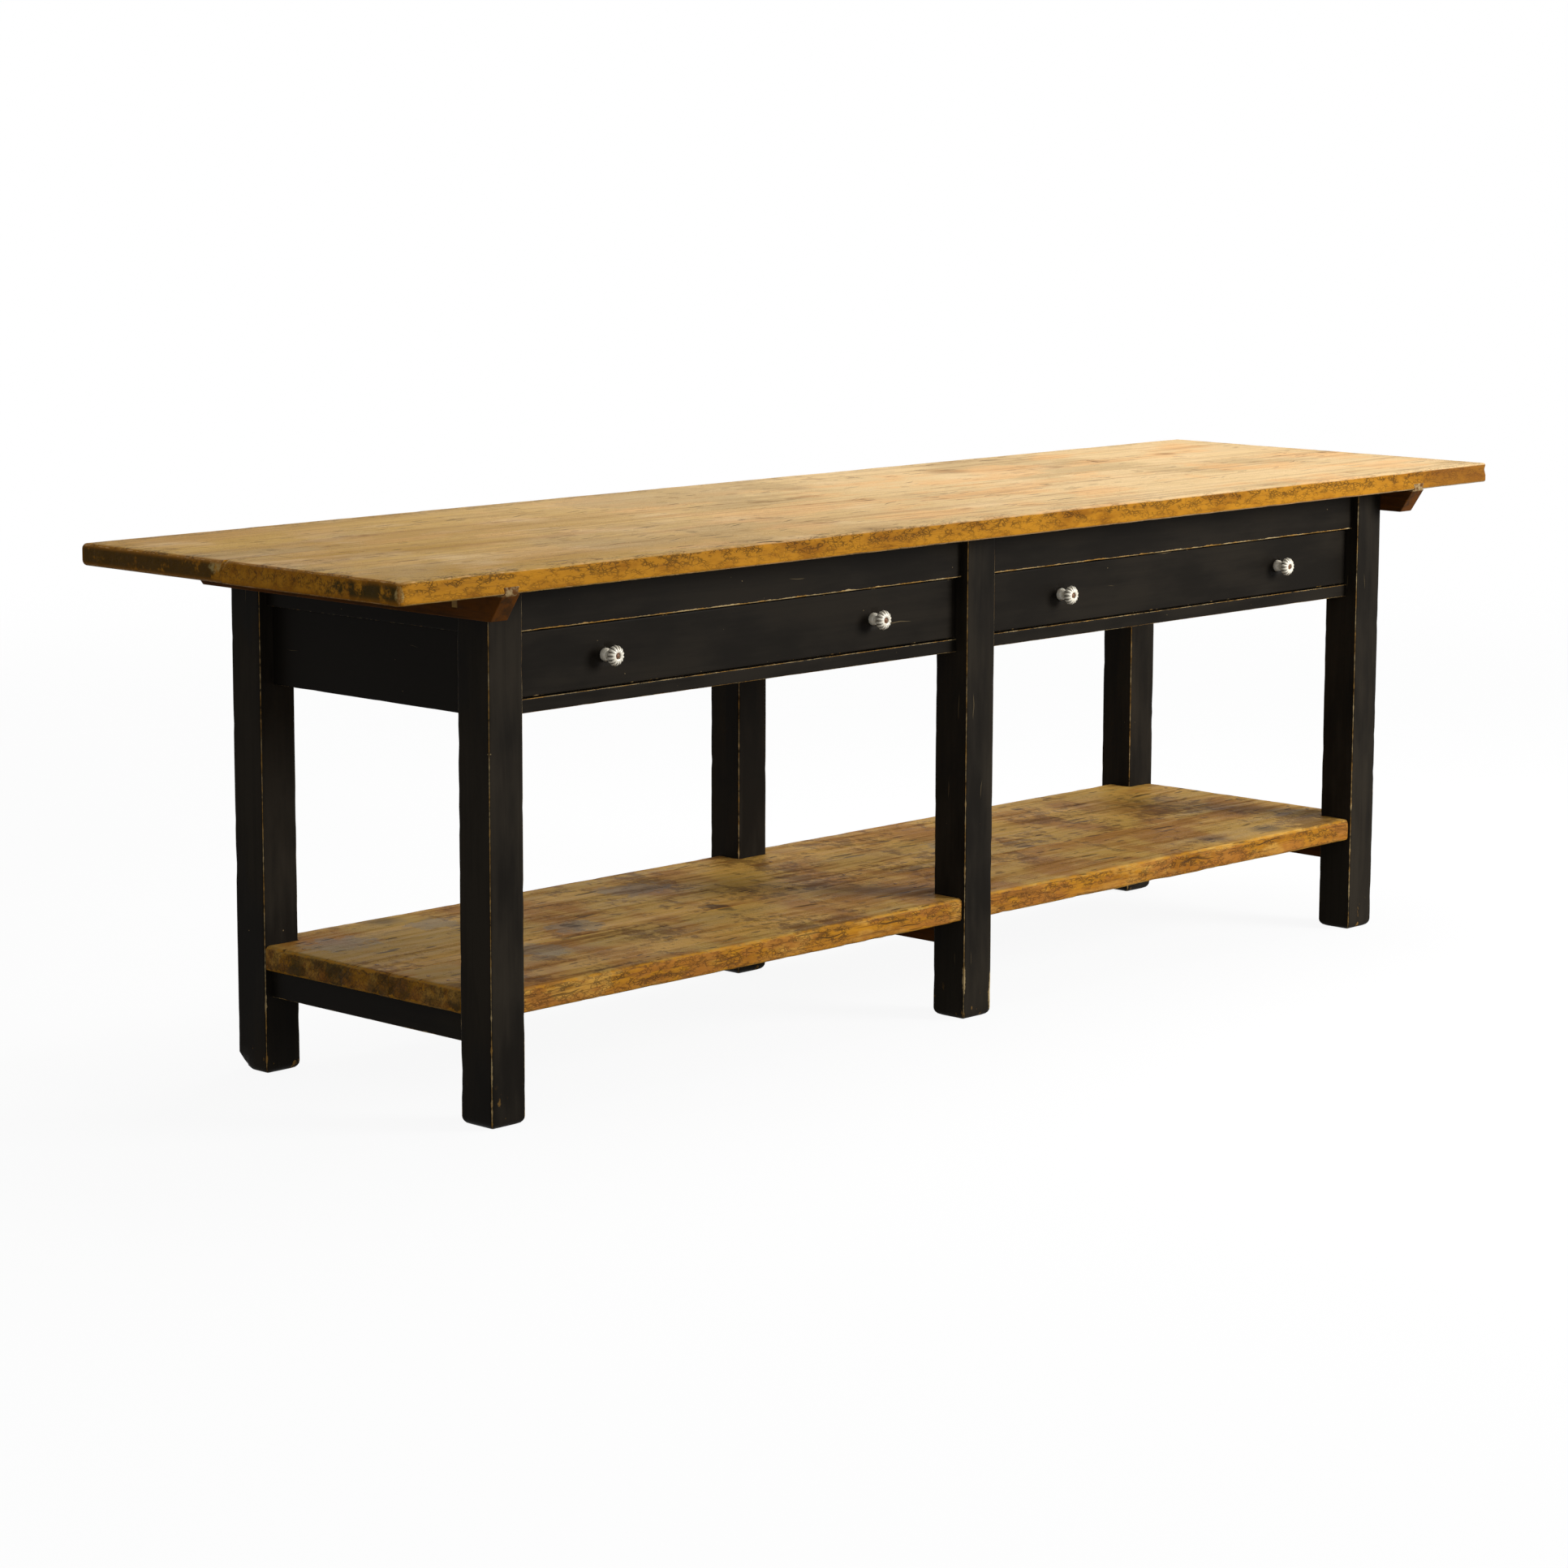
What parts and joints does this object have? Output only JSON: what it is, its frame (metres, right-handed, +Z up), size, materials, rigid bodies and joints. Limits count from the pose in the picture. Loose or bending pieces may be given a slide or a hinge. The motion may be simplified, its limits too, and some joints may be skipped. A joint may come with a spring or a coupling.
{
  "type": "work table with drawers and shelf",
  "caption": "Long worn pine kitchen work table: thick overhanging plank top on a black-painted frame, wide drawers with lobed white knobs, and a notched plank shelf below.",
  "frame": {"origin": "on the floor below the middle of the top", "axes": "+X along the table's length to the right, +Y from the drawer side to the back, +Z up"},
  "size_m": [2.706, 0.742, 0.86],
  "materials": {
    "worn_pine": "waxed, scratched honey pine",
    "weathered_pine": "worn pine with grey and dark streaks",
    "black_paint": "satin black paint, worn through on the edges",
    "brown_pine": "dark reddish-brown stain",
    "bare_pine": "unfinished old pine",
    "porcelain": "glazed white, faintly stained",
    "rusty_iron": "rusted"
  },
  "bodies": {
    "frame": {"back_apron_left": "black_paint", "back_apron_right": "black_paint", "batten_pegs": "brown_pine", "drawer_stops": "bare_pine", "end_apron_left": "black_paint", "end_apron_right": "black_paint", "end_upper_rail_left": "black_paint", "end_upper_rail_right": "black_paint", "front_lower_rail_left": "black_paint", "front_lower_rail_right": "black_paint", "front_upper_rail_left": "black_paint", "front_upper_rail_right": "black_paint", "left_drawer_left_kicker": "bare_pine", "left_drawer_left_runner": "bare_pine", "left_drawer_right_kicker": "bare_pine", "left_drawer_right_runner": "bare_pine", "leg_back_left": "black_paint", "leg_back_middle": "black_paint", "leg_back_right": "black_paint", "leg_front_left": "black_paint", "leg_front_middle": "black_paint", "leg_front_right": "black_paint", "middle_cross_rail": "bare_pine", "right_drawer_left_kicker": "bare_pine", "right_drawer_left_runner": "bare_pine", "right_drawer_right_kicker": "bare_pine", "right_drawer_right_runner": "bare_pine", "shelf_bearer_left": "black_paint", "shelf_bearer_middle": "brown_pine", "shelf_bearer_right": "brown_pine", "shelf_board_back": "weathered_pine", "shelf_board_front": "weathered_pine", "shelf_nails": "rusty_iron", "top_batten_left": "brown_pine", "top_batten_right": "brown_pine", "top_board_back": "worn_pine", "top_board_front": "worn_pine"},
    "left_drawer": {"left_drawer_back": "bare_pine", "left_drawer_bottom": "bare_pine", "left_drawer_front": "black_paint", "left_drawer_knob_bolts": "rusty_iron", "left_drawer_knob_nuts": "rusty_iron", "left_drawer_knob_roses": "porcelain", "left_drawer_knobs": "porcelain", "left_drawer_left_side": "bare_pine", "left_drawer_right_side": "bare_pine"},
    "right_drawer": {"right_drawer_back": "bare_pine", "right_drawer_bottom": "bare_pine", "right_drawer_front": "black_paint", "right_drawer_knob_bolts": "rusty_iron", "right_drawer_knob_nuts": "rusty_iron", "right_drawer_knob_roses": "porcelain", "right_drawer_knobs": "porcelain", "right_drawer_left_side": "bare_pine", "right_drawer_right_side": "bare_pine"}
  },
  "joints": [
    {"name": "left_drawer_slide", "type": "slide", "parent": "frame", "child": "left_drawer", "axis": [0, -1, 0], "range_m": [0, 0.4]},
    {"name": "right_drawer_slide", "type": "slide", "parent": "frame", "child": "right_drawer", "axis": [0, -1, 0], "range_m": [0, 0.4]}
  ]
}
